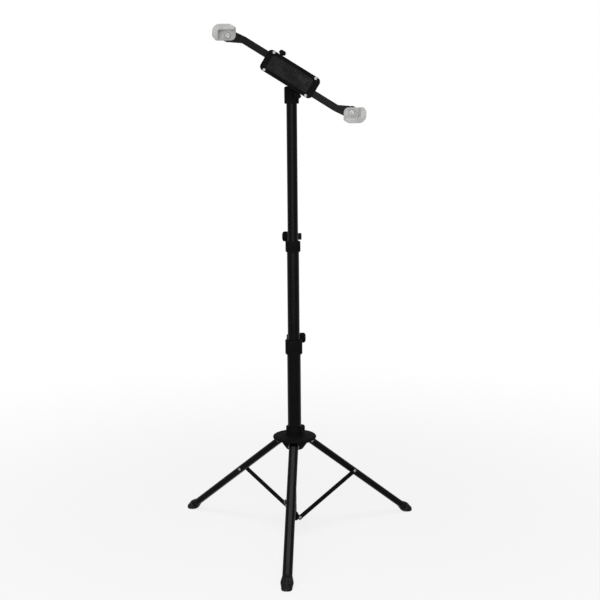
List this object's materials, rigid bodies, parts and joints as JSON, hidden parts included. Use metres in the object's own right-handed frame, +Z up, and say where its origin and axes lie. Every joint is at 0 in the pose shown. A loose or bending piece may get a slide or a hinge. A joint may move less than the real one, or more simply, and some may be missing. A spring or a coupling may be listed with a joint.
{
  "type": "adjustable tablet floor stand",
  "caption": "Black floor stand with a telescopic pole, clamp collars, folding tripod legs and a tilting head that grips a tablet by opposite corners.",
  "frame": {"origin": "where the pole's axis meets the floor", "axes": "+Z up along the pole, -Y to the front, where the holder faces and the front leg points, +X to the right seen from the front"},
  "size_m": [0.4508, 0.3925, 0.9326],
  "materials": {
    "black_paint": "satin black powder coat",
    "black_plastic": "fine moulded texture",
    "black_rubber": "matte",
    "dull_steel": "nickel plated, dulled",
    "black_steel": "black oxide",
    "grey_nylon": "plain",
    "milky_grip": "soft translucent moulding"
  },
  "bodies": {
    "pole_base": {"lower_tube": "black_paint", "tube_end_plug": "black_plastic", "spreader_rod": "black_paint", "spreader_spider": "black_plastic", "rod_nut": "black_steel", "lower_collar": "black_plastic", "lower_clamp_bolt": "black_steel"},
    "lower_knob": {"lower_clamp_knob": "black_plastic"},
    "middle_section": {"middle_tube": "black_paint", "middle_tube_glide": "grey_nylon", "upper_collar": "black_plastic", "upper_clamp_bolt": "black_steel"},
    "upper_knob": {"upper_clamp_knob": "black_plastic"},
    "upper_section": {"upper_tube": "black_paint", "upper_tube_glide": "grey_nylon"},
    "hub": {"leg_hub": "black_plastic", "hub_clamp_bolt": "black_steel", "leg_rivets": "dull_steel"},
    "hub_knob": {"hub_clamp_knob": "black_plastic"},
    "head": {"head_socket": "black_plastic", "tilt_bolt": "black_steel"},
    "pan_lock": {"pan_lock_screw": "black_plastic"},
    "tilt_lock": {"tilt_knob": "black_plastic"},
    "yoke": {"tilt_yoke": "black_plastic", "turn_washer": "grey_nylon", "turn_screw": "dull_steel"},
    "holder": {"holder_body": "black_plastic", "holder_cover": "black_plastic", "cover_screws": "dull_steel", "holder_pad": "black_rubber"},
    "front_leg_set": {"front_leg": "black_paint", "front_foot": "black_rubber", "front_stay_pin": "dull_steel"},
    "front_stay_set": {"front_stay": "black_paint", "front_stay_rivet": "dull_steel"},
    "right_leg_set": {"right_leg": "black_paint", "right_foot": "black_rubber", "right_stay_pin": "dull_steel"},
    "right_stay_set": {"right_stay": "black_paint", "right_stay_rivet": "dull_steel"},
    "left_leg_set": {"left_leg": "black_paint", "left_foot": "black_rubber", "left_stay_pin": "dull_steel"},
    "left_stay_set": {"left_stay": "black_paint", "left_stay_rivet": "dull_steel"},
    "upper_arm_set": {"upper_arm": "black_paint", "upper_grip_pin": "dull_steel"},
    "upper_arm_knob": {"upper_arm_lock": "black_plastic"},
    "upper_grip_set": {"upper_grip": "milky_grip"},
    "lower_arm_set": {"lower_arm": "black_paint", "lower_grip_pin": "dull_steel"},
    "lower_arm_knob": {"lower_arm_lock": "black_plastic"},
    "lower_grip_set": {"lower_grip": "milky_grip"}
  },
  "joints": [
    {"name": "hub_slide", "type": "slide", "parent": "pole_base", "child": "hub", "axis": [0, 0, 1], "range_m": [0, 0.10633]},
    {"name": "middle_slide", "type": "slide", "parent": "pole_base", "child": "middle_section", "axis": [0, 0, 1], "range_m": [-0.123, 0.01]},
    {"name": "upper_slide", "type": "slide", "parent": "middle_section", "child": "upper_section", "axis": [0, 0, 1], "range_m": [-0.16, 0.015]},
    {"name": "head_pan", "type": "hinge", "parent": "upper_section", "child": "head", "pos_m": [0, 0, 0.79857], "axis": [0, 0, 1], "continuous": true},
    {"name": "head_tilt", "type": "hinge", "parent": "head", "child": "yoke", "pos_m": [0, 0, 0.84807], "axis": [-1, 0, 0], "range_deg": [-10, 60]},
    {"name": "holder_turn", "type": "hinge", "parent": "yoke", "child": "holder", "pos_m": [0, -0.0273, 0.84807], "axis": [0, -1, 0], "continuous": true},
    {"name": "front_leg_fold", "type": "hinge", "parent": "hub", "child": "front_leg_set", "pos_m": [0, -0.0325, 0.17807], "axis": [1, 0, 0], "range_deg": [0, 51.2]},
    {"name": "front_stay_fold", "type": "hinge", "parent": "front_leg_set", "child": "front_stay_set", "pos_m": [0, -0.1229, 0.10539], "axis": [-1, 0, 0], "range_deg": [0, 98.06]},
    {"name": "right_leg_fold", "type": "hinge", "parent": "hub", "child": "right_leg_set", "pos_m": [0.02815, 0.01625, 0.17807], "axis": [-0.5, 0.866, 0], "range_deg": [0, 51.2]},
    {"name": "right_stay_fold", "type": "hinge", "parent": "right_leg_set", "child": "right_stay_set", "pos_m": [0.10644, 0.06145, 0.10539], "axis": [0.5, -0.866, 0], "range_deg": [0, 98.06]},
    {"name": "left_leg_fold", "type": "hinge", "parent": "hub", "child": "left_leg_set", "pos_m": [-0.02815, 0.01625, 0.17807], "axis": [-0.5, -0.866, 0], "range_deg": [0, 51.2]},
    {"name": "left_stay_fold", "type": "hinge", "parent": "left_leg_set", "child": "left_stay_set", "pos_m": [-0.10644, 0.06145, 0.10539], "axis": [0.5, 0.866, 0], "range_deg": [0, 98.06]},
    {"name": "upper_arm_slide", "type": "slide", "parent": "holder", "child": "upper_arm_set", "axis": [-0.8501, 0, 0.5266], "range_m": [-0.035, 0.03]},
    {"name": "upper_grip_swivel", "type": "hinge", "parent": "upper_arm_set", "child": "upper_grip_set", "pos_m": [-0.1065, -0.0384, 0.91404], "axis": [0, -1, 0], "range_deg": [-15, 15]},
    {"name": "upper_arm_lock_turn", "type": "hinge", "parent": "holder", "child": "upper_arm_knob", "pos_m": [-0.01792, -0.0346, 0.87611], "axis": [0.5266, 0, 0.8501], "range_deg": [0, 360]},
    {"name": "lower_arm_slide", "type": "slide", "parent": "holder", "child": "lower_arm_set", "axis": [0.8501, 0, -0.5266], "range_m": [-0.035, 0.03]},
    {"name": "lower_grip_swivel", "type": "hinge", "parent": "lower_arm_set", "child": "lower_grip_set", "pos_m": [0.1065, -0.0384, 0.78211], "axis": [0, -1, 0], "range_deg": [-15, 15]},
    {"name": "lower_arm_lock_turn", "type": "hinge", "parent": "holder", "child": "lower_arm_knob", "pos_m": [0.01792, -0.0346, 0.82003], "axis": [-0.5266, 0, -0.8501], "range_deg": [0, 360]},
    {"name": "lower_clamp_turn", "type": "hinge", "parent": "pole_base", "child": "lower_knob", "pos_m": [0.0086, 0.02323, 0.37157], "axis": [1, 0, 0], "range_deg": [0, 360]},
    {"name": "upper_clamp_turn", "type": "hinge", "parent": "middle_section", "child": "upper_knob", "pos_m": [-0.0086, 0.02064, 0.56057], "axis": [-1, 0, 0], "range_deg": [0, 360]},
    {"name": "hub_clamp_turn", "type": "hinge", "parent": "hub", "child": "hub_knob", "pos_m": [0.0086, 0.02035, 0.19937], "axis": [1, 0, 0], "range_deg": [0, 360]},
    {"name": "tilt_lock_turn", "type": "hinge", "parent": "head", "child": "tilt_lock", "pos_m": [0.0103, 0, 0.84807], "axis": [1, 0, 0], "range_deg": [0, 360]},
    {"name": "pan_lock_turn", "type": "hinge", "parent": "head", "child": "pan_lock", "pos_m": [0, 0.0098, 0.80757], "axis": [0, 1, 0], "range_deg": [0, 360]}
  ],
  "couplings": [
    {"joint": "front_leg_fold", "follows": "hub_slide", "rad_per_m": 8.404},
    {"joint": "front_stay_fold", "follows": "hub_slide", "rad_per_m": 16.096},
    {"joint": "right_leg_fold", "follows": "hub_slide", "rad_per_m": 8.404},
    {"joint": "right_stay_fold", "follows": "hub_slide", "rad_per_m": 16.096},
    {"joint": "left_leg_fold", "follows": "hub_slide", "rad_per_m": 8.404},
    {"joint": "left_stay_fold", "follows": "hub_slide", "rad_per_m": 16.096}
  ]
}
